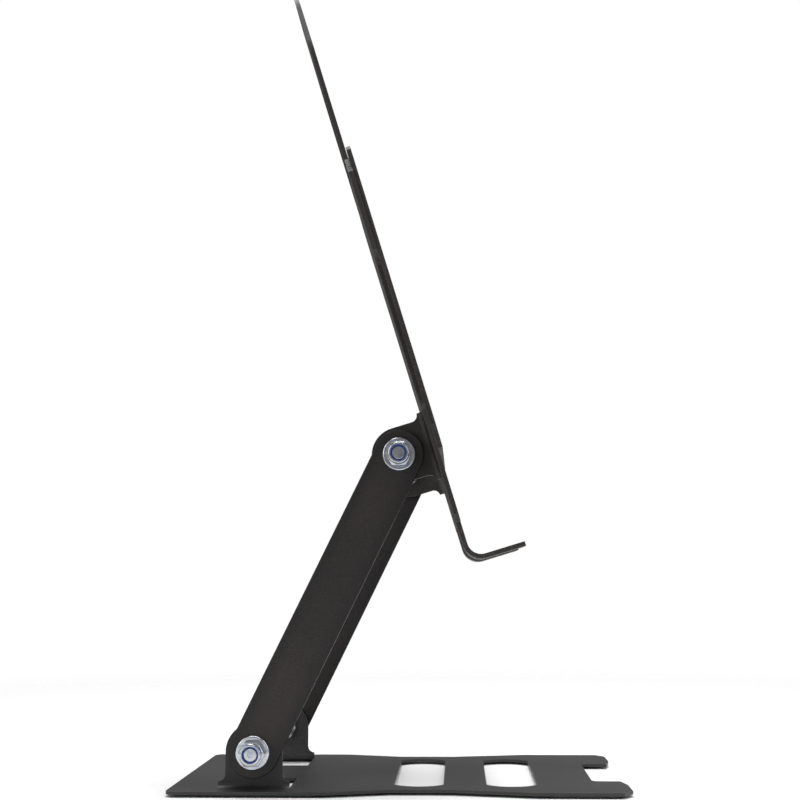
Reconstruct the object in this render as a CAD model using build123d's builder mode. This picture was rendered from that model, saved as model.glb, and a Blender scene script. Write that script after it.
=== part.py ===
"""Folding sheet-steel music stand: base plate, two lifting arms and a lean-back tray."""
from build123d import *
import math
import os

os.makedirs("parts", exist_ok=True)

# Frame: +X towards the reader's side of the lips, +Y across the stand, +Z up.
# The origin is on the table, under the middle of the base plate.

# Base plate
base_sheet = 1.3
pad_height = 1.0
base_half_length = 96.0
base_half_width = 62.0
waist_half_width = 54.0
window_reach = 45.0
window_corner = 39.0
base_top = pad_height + base_sheet

# Hinges
pivot_low = (-60.8, 16.9)
pivot_high = (0.6, 141.3)
ear_face = 50.0
ear_radius = 12.0
root_flare = 3.0
bend_radius = 2.5
slot_inner = 20.5
slot_half_length = ear_radius + root_flare
bend_axis = ear_face + bend_radius
bolt_radius = 3.0
hole_radius = 3.06
washer_sheet = 0.5
washer_radius = 8.0
face_gap = 0.05

# Arms
arm_sheet = 3.0
arm_half_width = 10.5

# Tray, in its own plane: across the stand, and up the tray from the upper hinge
tray_lean = 16.7
tray_sheet = 2.0
panel_sheet = 2.0
tray_setback = 14.6
tray_half_width = 65.0
neck_half_width = 41.5
neck_shoulder = 192.0
tray_top = 225.5
tray_bottom = -34.9
lip_floor = -52.7
lip_reach = 25.5
lip_inner_radius = 6.0
lip_inner_edge = 22.0
lip_outer_edge = 51.0
panel_half_width = 64.0
panel_bottom = -2.8
panel_top = 134.0
rivet_radius = 2.0
rivet_proud = 0.2
rivet_places = [(x, y) for x in (-46.0, 46.0) for y in (30.0, 96.0)]

# Fasteners
flange_radius = 7.1
flange_height = 1.6
hex_across_flats = 10.0
hex_height = 4.6
crown_radius = 4.5
crown_height = 1.9
ring_radius = 3.5
head_radius = 6.2
head_height = 3.3

washer_face = ear_face + washer_sheet
arm_inner = washer_face + face_gap
arm_outer = arm_inner + arm_sheet
nut_face = arm_outer + face_gap
hex_end = nut_face + flange_height + hex_height
nut_end = hex_end + crown_height

lean = math.radians(tray_lean)
tray_normal = Vector(math.cos(lean), 0, math.sin(lean))
tray_origin = Vector(pivot_high[0], 0, pivot_high[1]) + tray_normal * tray_setback
tray_plane = Plane(origin=tray_origin, x_dir=(0, 1, 0), z_dir=tray_normal)


def finish(piece, name):
    """Label one finished piece and write its file."""
    piece.part.label = name
    export_step(piece.part, f"parts/{name}.step")


def side_plane(y):
    """Plane facing -Y whose local x is the world x and local y the world z."""
    return Plane(origin=(0, y, 0), x_dir=(1, 0, 0), z_dir=(0, -1, 0))


def hinge_plane(pivot, side, distance):
    """Plane square to a hinge pin, at a distance from the stand's middle."""
    origin = (pivot[0], side * distance, pivot[1])
    return Plane(origin=origin, x_dir=(1, 0, 0), z_dir=(0, side, 0))


def ear_outline(pivot, to_root, reach):
    """Lines round an ear whose sides flare into the bend, drawn in the open line block."""
    way_in = Vector(*to_root)
    across = Vector(-way_in.Y, way_in.X)
    middle = Vector(*pivot)
    bulge = root_flare * (1 - math.sqrt(0.5))
    straight = reach - root_flare

    def at(along, aside):
        return middle + way_in * along + across * aside

    ThreePointArc(at(0, ear_radius), at(-ear_radius, 0), at(0, -ear_radius))
    for way in (-1, 1):
        edge = way * ear_radius
        tip = way * (ear_radius + root_flare)
        Line(at(0, edge), at(straight, edge))
        ThreePointArc(at(straight, edge), at(reach - bulge, edge + way * bulge), at(reach, tip))
    Line(at(reach, -ear_radius - root_flare), at(reach, ear_radius + root_flare))


def bend_outline(side, sheet, inside, outside, towards):
    """Lines round the quarter bend between a flat sheet and its ear, in the open line block."""
    centre_x = side * bend_axis
    centre_y = inside + towards * bend_radius
    outer = bend_radius + sheet
    half = math.sqrt(0.5)
    Line((centre_x, inside), (centre_x, outside))
    ThreePointArc(
        (centre_x, outside),
        (centre_x - side * outer * half, centre_y - towards * outer * half),
        (centre_x - side * outer, centre_y),
    )
    Line((centre_x - side * outer, centre_y), (centre_x - side * bend_radius, centre_y))
    ThreePointArc(
        (centre_x - side * bend_radius, centre_y),
        (centre_x - side * bend_radius * half, centre_y - towards * bend_radius * half),
        (centre_x, inside),
    )


def make_base_plate():
    """Waisted plate with two windows, a front notch and two ears bent up."""
    with BuildPart() as plate:
        with BuildSketch(Plane.XY.offset(pad_height)):
            with BuildLine():
                Polyline(
                    (-base_half_length, 0),
                    (-base_half_length, base_half_width),
                    (-30, base_half_width),
                    (-4, waist_half_width),
                    (22, waist_half_width),
                    (56, base_half_width),
                    (92, base_half_width),
                    (base_half_length, 56),
                    (base_half_length, 38),
                    (94, 28),
                    (84, 28),
                    (82, 26),
                    (82, 0),
                    close=True,
                )
            make_face()
            mirror(about=Plane.XZ)
        extrude(amount=base_sheet)
        fillet(plate.edges().filter_by(Axis.Z).group_by(Axis.X)[0], radius=4)
        waist = plate.edges().filter_by(Axis.Z).filter_by(lambda e: -35 < e.center().X < 60)
        fillet(waist, radius=14)
        for near, far in ((-2.7, 18.4), (36.5, 57.8)):
            middle = (near + far) / 2
            with BuildSketch(Plane.XY.offset(pad_height)):
                with BuildLine():
                    Line((near, -window_corner), (near, window_corner))
                    ThreePointArc((near, window_corner), (middle, window_reach), (far, window_corner))
                    Line((far, window_corner), (far, -window_corner))
                    ThreePointArc((far, -window_corner), (middle, -window_reach), (near, -window_corner))
                make_face()
            extrude(amount=base_sheet, mode=Mode.SUBTRACT)
        bend_start = Plane(
            origin=(pivot_low[0] - slot_half_length, 0, 0),
            x_dir=(0, 1, 0),
            z_dir=(1, 0, 0),
        )
        for side in (-1, 1):
            with BuildSketch(Plane.XY.offset(pad_height)):
                with Locations((pivot_low[0], side * (slot_inner + bend_axis) / 2)):
                    Rectangle(2 * slot_half_length, bend_axis - slot_inner)
            extrude(amount=base_sheet, mode=Mode.SUBTRACT)
            with BuildSketch(bend_start):
                with BuildLine():
                    bend_outline(side, base_sheet, base_top, pad_height, 1)
                make_face()
            extrude(amount=2 * slot_half_length)
            start = ear_face if side > 0 else base_sheet - ear_face
            with BuildSketch(side_plane(start)):
                with BuildLine():
                    ear_outline(pivot_low, (0, -1), pivot_low[1] - base_top - bend_radius)
                make_face()
                with Locations(pivot_low):
                    Circle(bolt_radius, mode=Mode.SUBTRACT)
            extrude(amount=base_sheet)
    finish(plate, "base_plate")


def make_foot_pads():
    """Four thin rubber pads under the corners of the base."""
    rear = ("rear", -58.0, 50.0, 57.0, 8.0)
    front = ("front", 76.0, 30.0, 49.5, 24.0)
    for end, x, length, y, width in (rear, front):
        for name, side in (("right", -1), ("left", 1)):
            with BuildPart() as pad:
                with BuildSketch(Plane.XY):
                    with Locations((x, side * y)):
                        RectangleRounded(length, width, 3)
                extrude(amount=pad_height)
            finish(pad, f"foot_pad_{end}_{name}")


def make_arms():
    """Two flat bars with round ends, outside the ears."""
    run_x = pivot_high[0] - pivot_low[0]
    run_z = pivot_high[1] - pivot_low[1]
    length = math.hypot(run_x, run_z)
    angle = math.degrees(math.atan2(run_z, run_x))
    middle = ((pivot_high[0] + pivot_low[0]) / 2, (pivot_high[1] + pivot_low[1]) / 2)
    for name, start in (("right", -arm_inner), ("left", arm_outer)):
        with BuildPart() as arm:
            with BuildSketch(side_plane(start)):
                with Locations(middle):
                    SlotCenterToCenter(length, 2 * arm_half_width, rotation=angle)
                with Locations(pivot_low, pivot_high):
                    Circle(hole_radius, mode=Mode.SUBTRACT)
            extrude(amount=arm_sheet)
            rims = arm.faces().filter_by(Axis.Y).edges().filter_by(lambda e: e.length > 20)
            fillet(rims, radius=0.4)
        finish(arm, f"arm_{name}")


def make_tray_back():
    """Back sheet of the tray with a neck, two ears bent back and two lips bent forward."""
    half = math.sqrt(0.5)
    lip_outer_radius = lip_inner_radius + tray_sheet
    bend_x = tray_sheet + lip_inner_radius
    bend_y = lip_floor + lip_outer_radius
    lip_overlap = tray_bottom + 1
    bend_start = Plane(
        origin=tray_plane.from_local_coords(Vector(0, -slot_half_length, 0)),
        x_dir=(0, 1, 0),
        z_dir=-tray_plane.y_dir,
    )
    with BuildPart() as tray:
        with BuildSketch(tray_plane):
            with BuildLine():
                Polyline(
                    (0, tray_bottom),
                    (tray_half_width - 3, tray_bottom),
                    (tray_half_width, tray_bottom + 3),
                    (tray_half_width, 14),
                    (60, 24),
                    (60, 80),
                    (tray_half_width, 86),
                    (tray_half_width, 122),
                    (58, 130),
                    (neck_half_width, 132),
                    (neck_half_width, neck_shoulder),
                    (27, tray_top),
                    (0, tray_top),
                    close=True,
                )
            make_face()
            mirror(about=Plane.YZ)
        extrude(amount=tray_sheet)
        corners = tray.edges().filter_by(lambda e: abs(e.length - tray_sheet) < 0.01)
        crown = corners.filter_by(lambda e: tray_plane.to_local_coords(e.center()).Y > 175)
        fillet(crown, radius=16)
        with BuildSketch(tray_plane):
            with Locations((0, 164)):
                RectangleRounded(2 * (neck_half_width - 8), 66, 10)
        extrude(amount=tray_sheet, mode=Mode.SUBTRACT)
        for side in (-1, 1):
            with BuildSketch(tray_plane):
                with Locations((side * (slot_inner + bend_axis) / 2, 0)):
                    Rectangle(bend_axis - slot_inner, 2 * slot_half_length)
            extrude(amount=tray_sheet, mode=Mode.SUBTRACT)
            with BuildSketch(bend_start):
                with BuildLine():
                    bend_outline(side, tray_sheet, 0, tray_sheet, -1)
                make_face()
            extrude(amount=-2 * slot_half_length)
            start = ear_face if side > 0 else tray_sheet - ear_face
            ear_plane = Plane(
                origin=(pivot_high[0], start, pivot_high[1]),
                x_dir=tray_normal,
                z_dir=(0, -1, 0),
            )
            with BuildSketch(ear_plane):
                with BuildLine():
                    ear_outline((0, 0), (1, 0), tray_setback - bend_radius)
                make_face()
                Circle(bolt_radius, mode=Mode.SUBTRACT)
            extrude(amount=tray_sheet)
            lip_start = Plane(
                origin=tray_origin + Vector(0, lip_outer_edge if side > 0 else -lip_inner_edge, 0),
                x_dir=tray_normal,
                z_dir=(0, -1, 0),
            )
            with BuildSketch(lip_start):
                with BuildLine():
                    Line((0, lip_overlap), (0, bend_y))
                    ThreePointArc(
                        (0, bend_y),
                        (bend_x - lip_outer_radius * half, bend_y - lip_outer_radius * half),
                        (bend_x, lip_floor),
                    )
                    Line((bend_x, lip_floor), (lip_reach, lip_floor))
                    Line((lip_reach, lip_floor), (lip_reach, lip_floor + tray_sheet))
                    Line((lip_reach, lip_floor + tray_sheet), (bend_x, lip_floor + tray_sheet))
                    ThreePointArc(
                        (bend_x, lip_floor + tray_sheet),
                        (bend_x - lip_inner_radius * half, bend_y - lip_inner_radius * half),
                        (tray_sheet, bend_y),
                    )
                    Line((tray_sheet, bend_y), (tray_sheet, lip_overlap))
                    Line((tray_sheet, lip_overlap), (0, lip_overlap))
                make_face()
            extrude(amount=lip_outer_edge - lip_inner_edge)
    finish(tray, "tray_back")


def make_tray_panel():
    """Front panel that stiffens the tray, lying on the back sheet."""
    with BuildPart() as panel:
        with BuildSketch(tray_plane.offset(tray_sheet)):
            with BuildLine():
                Polyline(
                    (0, panel_bottom),
                    (panel_half_width - 6, panel_bottom),
                    (panel_half_width, panel_bottom + 10),
                    (panel_half_width, panel_top - 2),
                    (panel_half_width - 2, panel_top),
                    (0, panel_top),
                    close=True,
                )
            make_face()
            mirror(about=Plane.YZ)
            with Locations(*rivet_places):
                Circle(rivet_radius, mode=Mode.SUBTRACT)
        extrude(amount=panel_sheet)
    finish(panel, "tray_panel")


def make_tray_rivets():
    """Four flush rivets that hold the panel to the back sheet."""
    with BuildPart() as rivets:
        with BuildSketch(tray_plane.offset(tray_sheet)):
            with Locations(*rivet_places):
                Circle(rivet_radius)
        extrude(amount=panel_sheet + rivet_proud)
    finish(rivets, "tray_rivets")


def make_hinge_hardware():
    """Bolt, washer, flange nut and its locking ring at each of the four hinges."""
    for level, pivot, ear_sheet in (("lower", pivot_low, base_sheet), ("upper", pivot_high, tray_sheet)):
        for name, side in (("right", -1), ("left", 1)):
            outward = Axis(origin=(0, 0, 0), direction=(0, side, 0))
            head_face = ear_face - ear_sheet
            bolt_end = nut_end - 0.9
            with BuildPart() as bolt:
                with BuildSketch(hinge_plane(pivot, side, head_face)):
                    Circle(bolt_radius)
                extrude(amount=bolt_end - head_face)
                fillet(bolt.edges().filter_by(GeomType.CIRCLE).sort_by(outward)[-1], radius=0.6)
                with BuildSketch(hinge_plane(pivot, side, bolt_end)):
                    Circle(1.2)
                extrude(amount=-0.5, mode=Mode.SUBTRACT)
                with BuildSketch(hinge_plane(pivot, side, head_face)):
                    Circle(head_radius)
                extrude(amount=-head_height)
                fillet(bolt.edges().filter_by(GeomType.CIRCLE).sort_by(outward)[0], radius=2.6)
            finish(bolt, f"bolt_{level}_{name}")

            with BuildPart() as washer:
                with BuildSketch(hinge_plane(pivot, side, ear_face)):
                    Circle(washer_radius)
                    Circle(hole_radius, mode=Mode.SUBTRACT)
                extrude(amount=washer_sheet)
            finish(washer, f"washer_{level}_{name}")

            with BuildPart() as nut:
                with BuildSketch(hinge_plane(pivot, side, hex_end)):
                    RegularPolygon(hex_across_flats / 2, 6, major_radius=False)
                extrude(amount=-hex_height)
                with BuildSketch(hinge_plane(pivot, side, hex_end)):
                    Circle(crown_radius + 0.3)
                extrude(amount=-hex_height, taper=-55, mode=Mode.INTERSECT)
                with BuildSketch(hinge_plane(pivot, side, nut_face)):
                    Circle(flange_radius)
                extrude(amount=flange_height)
                rim = nut.edges().filter_by(GeomType.CIRCLE).filter_by(lambda e: e.radius > 6.5)
                fillet(rim.sort_by(outward)[-1], radius=0.7)
                with BuildSketch(hinge_plane(pivot, side, hex_end)):
                    Circle(crown_radius)
                extrude(amount=crown_height)
                fillet(nut.edges().filter_by(GeomType.CIRCLE).sort_by(outward)[-1], radius=0.6)
                with BuildSketch(hinge_plane(pivot, side, nut_face)):
                    Circle(bolt_radius)
                extrude(amount=nut_end - nut_face, mode=Mode.SUBTRACT)
                with BuildSketch(hinge_plane(pivot, side, hex_end)):
                    Circle(ring_radius)
                extrude(amount=crown_height, mode=Mode.SUBTRACT)
            finish(nut, f"nut_{level}_{name}")

            with BuildPart() as ring:
                with BuildSketch(hinge_plane(pivot, side, hex_end)):
                    Circle(ring_radius)
                    Circle(bolt_radius, mode=Mode.SUBTRACT)
                extrude(amount=crown_height - 0.5)
            finish(ring, f"locking_ring_{level}_{name}")


make_base_plate()
make_foot_pads()
make_arms()
make_tray_back()
make_tray_panel()
make_tray_rivets()
make_hinge_hardware()
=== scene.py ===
import math
import bpy
from mathutils import Matrix, Vector


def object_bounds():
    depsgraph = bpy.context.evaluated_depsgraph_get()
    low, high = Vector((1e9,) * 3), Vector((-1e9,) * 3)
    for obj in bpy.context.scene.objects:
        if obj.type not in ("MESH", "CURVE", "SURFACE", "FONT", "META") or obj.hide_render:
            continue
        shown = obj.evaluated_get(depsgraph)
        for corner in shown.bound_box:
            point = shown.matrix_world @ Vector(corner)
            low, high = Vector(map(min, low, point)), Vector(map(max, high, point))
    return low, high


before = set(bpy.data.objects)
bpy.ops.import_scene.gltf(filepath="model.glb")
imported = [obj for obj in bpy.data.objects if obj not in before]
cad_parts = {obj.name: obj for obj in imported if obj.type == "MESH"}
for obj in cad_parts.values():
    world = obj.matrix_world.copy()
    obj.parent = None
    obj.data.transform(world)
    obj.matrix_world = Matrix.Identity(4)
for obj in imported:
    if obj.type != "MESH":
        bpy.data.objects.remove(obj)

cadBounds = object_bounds()
print("frame loaded:", len(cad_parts), "nodes")


class Signal:
    # one output socket, so that shader maths reads as plain expressions
    def __init__(self, wiring, socket):
        self.wiring = wiring
        self.socket = socket

    def __add__(self, other):
        return self.wiring.maths("ADD", self, other)

    def __radd__(self, other):
        return self.wiring.maths("ADD", other, self)

    def __sub__(self, other):
        return self.wiring.maths("SUBTRACT", self, other)

    def __rsub__(self, other):
        return self.wiring.maths("SUBTRACT", other, self)

    def __mul__(self, other):
        return self.wiring.maths("MULTIPLY", self, other)

    def __rmul__(self, other):
        return self.wiring.maths("MULTIPLY", other, self)


class Wiring:
    # the ways to add nodes to one node tree
    def __init__(self, tree):
        self.tree = tree

    def add(self, kind, settings=None, inputs=None, output=0):
        node = self.tree.nodes.new(kind)
        for key, value in (settings or {}).items():
            if key == "stops":
                ramp = node.color_ramp
                while len(ramp.elements) < len(value):
                    ramp.elements.new(0.5)
                for element, (place, colour) in zip(ramp.elements, value):
                    element.position = place
                    element.color = (*colour, 1.0)
            else:
                setattr(node, key, value)
        for key, value in (inputs or {}).items():
            self.feed(node.inputs[key], value)
        return Signal(self, node.outputs[output])

    def feed(self, socket, value):
        if isinstance(value, Signal):
            self.tree.links.new(value.socket, socket)
        elif socket.type == "RGBA" and len(value) == 3:
            socket.default_value = (*value, 1.0)
        else:
            socket.default_value = value

    def maths(self, operation, first, second=0.0):
        return self.add("ShaderNodeMath", {"operation": operation}, {0: first, 1: second})


class Finish(Wiring):
    # a new material and the textures and masks that it is made from
    def __init__(self, name):
        self.material = bpy.data.materials.new(name)
        self.material.use_nodes = True
        super().__init__(self.material.node_tree)
        self.shader = self.tree.nodes["Principled BSDF"]

    def set(self, **values):
        for key, value in values.items():
            self.feed(self.shader.inputs[key.replace("_", " ")], value)

    def place(self):
        return self.add("ShaderNodeTexCoord", output=3)

    def noise(self, scale, detail, roughness=0.5):
        return self.add("ShaderNodeTexNoise", {}, {"Vector": self.place(), "Scale": scale,
                        "Detail": detail, "Roughness": roughness})

    def ramp(self, signal, stops):
        return self.add("ShaderNodeValToRGB", {"stops": stops}, {"Fac": signal})

    def step(self, signal, low, high):
        return self.add("ShaderNodeMapRange", {"interpolation_type": "SMOOTHSTEP"},
                        {"Value": signal, "From Min": low, "From Max": high})

    def mix(self, mask, first, second):
        return self.add("ShaderNodeMix", {"data_type": "RGBA"}, {0: mask, 6: first, 7: second}, 2)

    def bump(self, height, strength, distance):
        return self.add("ShaderNodeBump", {}, {"Height": height, "Strength": strength,
                        "Distance": distance})

    def edges(self, radius):
        # 0 on a flat face, rising where the surface turns
        soft = self.add("ShaderNodeBevel", {"samples": 4}, {"Radius": radius})
        flat = self.add("ShaderNodeNewGeometry", output=1)
        agree = self.add("ShaderNodeVectorMath", {"operation": "DOT_PRODUCT"}, {0: soft, 1: flat}, 1)
        return 1.0 - agree


powderGrain = {
    "grainScale": 2600.0,     # per metre, so a grain is about 0.4 mm
    "grainDetail": 3.0,
    "grainBreak": 0.6,
    "peelScale": 900.0,
    "peelDetail": 2.0,
    "cloudScale": 14.0,
    "cloudDetail": 3.0,
    "fleckScale": 3400.0,
    "fleckDetail": 1.0,
    "fleckFrom": (0.66, 0.74),
    "fleckStrength": 0.55,
    "edgeHighlightRadius": 0.0006,
    "edgeHighlightFrom": (0.03, 0.3),
    "edgeHighlightStrength": 0.35,
    "grainShare": 0.65,
    "cloudShare": 0.35,
    "toneFrom": (0.36, 0.64),
    "rimShadeStrength": 0.9,
    "roughnessSpread": 0.3,
    "grainHeight": 0.7,
    "peelHeight": 0.6,
    "bumpStrength": 0.6,
    "bumpDistance": 0.00012,
    "refraction": 1.5,
}

armPaint = {
    "dark": (0.004, 0.003, 0.003),
    "light": (0.026, 0.020, 0.017),
    "fleckAndEdgeHighlight": (0.10, 0.082, 0.072),
    "roughness": 0.55,
    "across": (0.8967, 0.0, -0.4426),     # unit vector square to the bar, in the rest pose
    "middle": -0.0620,                    # where the bar's middle line lies along that vector
    "rimShadeFrom": (0.003, 0.0105),
}

trayPaint = {
    "dark": (0.007, 0.006, 0.005),
    "light": (0.044, 0.038, 0.035),
    "fleckAndEdgeHighlight": (0.17, 0.15, 0.145),
    "roughness": 0.50,
}

basePaint = {
    "dark": (0.008, 0.008, 0.008),
    "light": (0.036, 0.035, 0.035),
    "fleckAndEdgeHighlight": (0.13, 0.13, 0.13),
    "roughness": 0.46,
}


def powderCoat(name, paint):
    finish = Finish(name)
    look = powderGrain
    grain = finish.noise(look["grainScale"], look["grainDetail"], look["grainBreak"])
    peel = finish.noise(look["peelScale"], look["peelDetail"])
    cloud = finish.noise(look["cloudScale"], look["cloudDetail"])
    flecks = finish.step(finish.noise(look["fleckScale"], look["fleckDetail"]), *look["fleckFrom"])
    # painted highlight: a bevel mask over the coat's small edge roundings, where they would catch the
    # light
    edgeHighlight = finish.step(finish.edges(look["edgeHighlightRadius"]), *look["edgeHighlightFrom"])
    tone = finish.step(grain * look["grainShare"] + cloud * look["cloudShare"], *look["toneFrom"])
    colour = finish.mix(tone, paint["dark"], paint["light"])
    if "across" in paint:
        # painted shade: the coat is darkened towards the long sides of a bar, so that its middle
        # reads as lit
        across = finish.add("ShaderNodeVectorMath", {"operation": "DOT_PRODUCT"},
                            {0: finish.place(), 1: paint["across"]}, 1)
        aside = finish.maths("ABSOLUTE", across - paint["middle"])
        rimShade = finish.step(aside, *paint["rimShadeFrom"])
        colour = finish.mix(rimShade * look["rimShadeStrength"], colour, paint["dark"])
    colour = finish.mix(flecks * look["fleckStrength"], colour, paint["fleckAndEdgeHighlight"])
    # painted highlight: the lighter colour laid along the edges
    colour = finish.mix(edgeHighlight * look["edgeHighlightStrength"], colour, paint["fleckAndEdgeHighlight"])
    roughness = paint["roughness"] + (grain - 0.5) * look["roughnessSpread"]
    height = grain * look["grainHeight"] + peel * look["peelHeight"]
    finish.set(Base_Color=colour, Roughness=roughness, IOR=look["refraction"])
    finish.set(Normal=finish.bump(height, look["bumpStrength"], look["bumpDistance"]))
    return finish.material


zincLook = {
    "cloudScale": 180.0,
    "cloudDetail": 3.0,
    "fineScale": 2200.0,
    "fineDetail": 2.0,
    "stops": [(0.3, (0.36, 0.40, 0.48)), (0.55, (0.62, 0.64, 0.68)), (0.75, (0.50, 0.50, 0.49))],
    "roughness": 0.16,
    "roughnessSpread": 0.16,
    "bumpStrength": 0.12,
    "bumpDistance": 0.00006,
}


def brightZinc():
    finish = Finish("brightZinc")
    look = zincLook
    cloud = finish.noise(look["cloudScale"], look["cloudDetail"])
    fine = finish.noise(look["fineScale"], look["fineDetail"])
    roughness = look["roughness"] + fine * look["roughnessSpread"]
    finish.set(Base_Color=finish.ramp(cloud, look["stops"]), Metallic=1.0, Roughness=roughness)
    finish.set(Normal=finish.bump(fine, look["bumpStrength"], look["bumpDistance"]))
    return finish.material


nylonLook = {
    "low": (0.012, 0.035, 0.16),
    "high": (0.03, 0.09, 0.36),
    "scale": 1500.0,
    "detail": 3.0,
    "roughness": 0.35,
    "roughnessSpread": 0.2,
    "bumpStrength": 0.2,
    "bumpDistance": 0.00005,
}

washerLook = {
    "low": (0.012, 0.012, 0.012),
    "high": (0.03, 0.03, 0.03),
    "scale": 1800.0,
    "detail": 4.0,
    "roughness": 0.45,
    "roughnessSpread": 0.15,
    "bumpStrength": 0.4,
    "bumpDistance": 0.0001,
}

padLook = {
    "low": (0.010, 0.010, 0.010),
    "high": (0.026, 0.026, 0.026),
    "scale": 1800.0,
    "detail": 4.0,
    "roughness": 0.75,
    "roughnessSpread": 0.15,
    "bumpStrength": 0.4,
    "bumpDistance": 0.0001,
}

mouldedFrom = (0.3, 0.7)      # the stretch of the noise over which the two colours change


def moulded(name, look):
    finish = Finish(name)
    fine = finish.noise(look["scale"], look["detail"])
    colour = finish.mix(finish.step(fine, *mouldedFrom), look["low"], look["high"])
    finish.set(Base_Color=colour, Roughness=look["roughness"] + fine * look["roughnessSpread"])
    finish.set(Normal=finish.bump(fine, look["bumpStrength"], look["bumpDistance"]))
    return finish.material


zinc = brightZinc()
finishOf = {
    "base_plate": powderCoat("baseCoat", basePaint),
    "arm_": powderCoat("armCoat", armPaint),
    "tray_": powderCoat("trayCoat", trayPaint),
    "bolt_": zinc,
    "nut_": zinc,
    "locking_ring_": moulded("lockingNylon", nylonLook),
    "washer_": moulded("washerBlack", washerLook),
    "foot_pad_": moulded("padRubber", padLook),
}
for nodeName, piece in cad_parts.items():
    for start, material in finishOf.items():
        if nodeName.startswith(start):
            piece.data.materials.clear()
            piece.data.materials.append(material)
print("finishes on the frame's own pieces")


studio = {
    "floorSize": 6.0,
    "floorDrop": 0.0001,
    "floorColour": (0.93, 0.93, 0.93),
    "floorRoughness": 0.9,
    "floorFade": (0.3, 0.8),      # metres from the floor's middle over which it thins out
    "white": (1.0, 1.0, 1.0),
    "worldStrength": 0.26,
    "backdropStrength": 1.0,
    "lampAim": (0.0, 0.0, 0.14),
    "lamps": {
        "topLight": {"place": (0.05, 0.15, 1.1), "size": (0.9, 0.9), "power": 14.0},
        "sideLight": {"place": (-0.9, -0.8, 0.5), "size": (0.5, 0.9), "power": 4.0},
        "readerLight": {"place": (0.9, -0.5, 0.6), "size": (0.4, 0.9), "power": 3.2},
    },
}


def makeFloor():
    mesh = bpy.data.meshes.new("floor")
    half = studio["floorSize"] / 2
    mesh.from_pydata([(-half, -half, 0), (half, -half, 0), (half, half, 0), (-half, half, 0)], [],
                     [(0, 1, 2, 3)])
    floor = bpy.data.objects.new("floor", mesh)
    bpy.context.scene.collection.objects.link(floor)
    floor.location.z = cadBounds[0][2] - studio["floorDrop"]
    paper = Finish("paper")
    reach = paper.add("ShaderNodeVectorMath", {"operation": "LENGTH"}, {0: paper.place()}, 1)
    faded = paper.step(reach, *studio["floorFade"])
    paper.set(Base_Color=studio["floorColour"], Roughness=studio["floorRoughness"], Alpha=1.0 - faded)
    mesh.materials.append(paper.material)


def makeWorld():
    world = bpy.data.worlds.new("studio")
    world.use_nodes = True
    sky = Wiring(world.node_tree)
    sky.tree.nodes.remove(sky.tree.nodes["Background"])
    surround = sky.add("ShaderNodeBackground", {}, {"Color": studio["white"],
                       "Strength": studio["worldStrength"]})
    backdrop = sky.add("ShaderNodeBackground", {}, {"Color": studio["white"],
                       "Strength": studio["backdropStrength"]})
    # the backdrop stays white to the eye and lights the stand only dimly
    seen = sky.add("ShaderNodeLightPath")
    chosen = sky.add("ShaderNodeMixShader", {}, {0: seen, 1: surround, 2: backdrop})
    sky.feed(sky.tree.nodes["World Output"].inputs["Surface"], chosen)
    bpy.context.scene.world = world


def makeLamp(name, design):
    lamp = bpy.data.lights.new(name, "AREA")
    lamp.shape = "RECTANGLE"
    lamp.size, lamp.size_y = design["size"]
    lamp.energy = design["power"]
    light = bpy.data.objects.new(name, lamp)
    light.location = design["place"]
    aim = Vector(studio["lampAim"]) - Vector(design["place"])
    light.rotation_euler = aim.to_track_quat("-Z", "Y").to_euler()
    bpy.context.scene.collection.objects.link(light)


view = {
    "place": (0.0254, -0.6339, 0.0869),
    "yaw": 0.042,
    "pitch": 0.133,
    "roll": -0.003,
    "lens": 61.5,
    "sensorWidth": 36.0,
    "clipStart": 0.01,
}


def makeCamera():
    data = bpy.data.cameras.new("camera")
    data.lens = view["lens"]
    data.sensor_width = view["sensorWidth"]
    data.clip_start = view["clipStart"]
    camera = bpy.data.objects.new("camera", data)
    turn = Matrix.Rotation(view["yaw"], 3, "Z")
    turn = turn @ Matrix.Rotation(math.pi / 2 + view["pitch"], 3, "X")
    turn = turn @ Matrix.Rotation(view["roll"], 3, "Z")
    camera.rotation_euler = turn.to_euler()
    camera.location = view["place"]
    bpy.context.scene.collection.objects.link(camera)
    bpy.context.scene.camera = camera


makeFloor()
makeWorld()
for lampName, lampDesign in studio["lamps"].items():
    makeLamp(lampName, lampDesign)
makeCamera()
bpy.context.scene.view_settings.view_transform = "Standard"
print("studio and camera set")
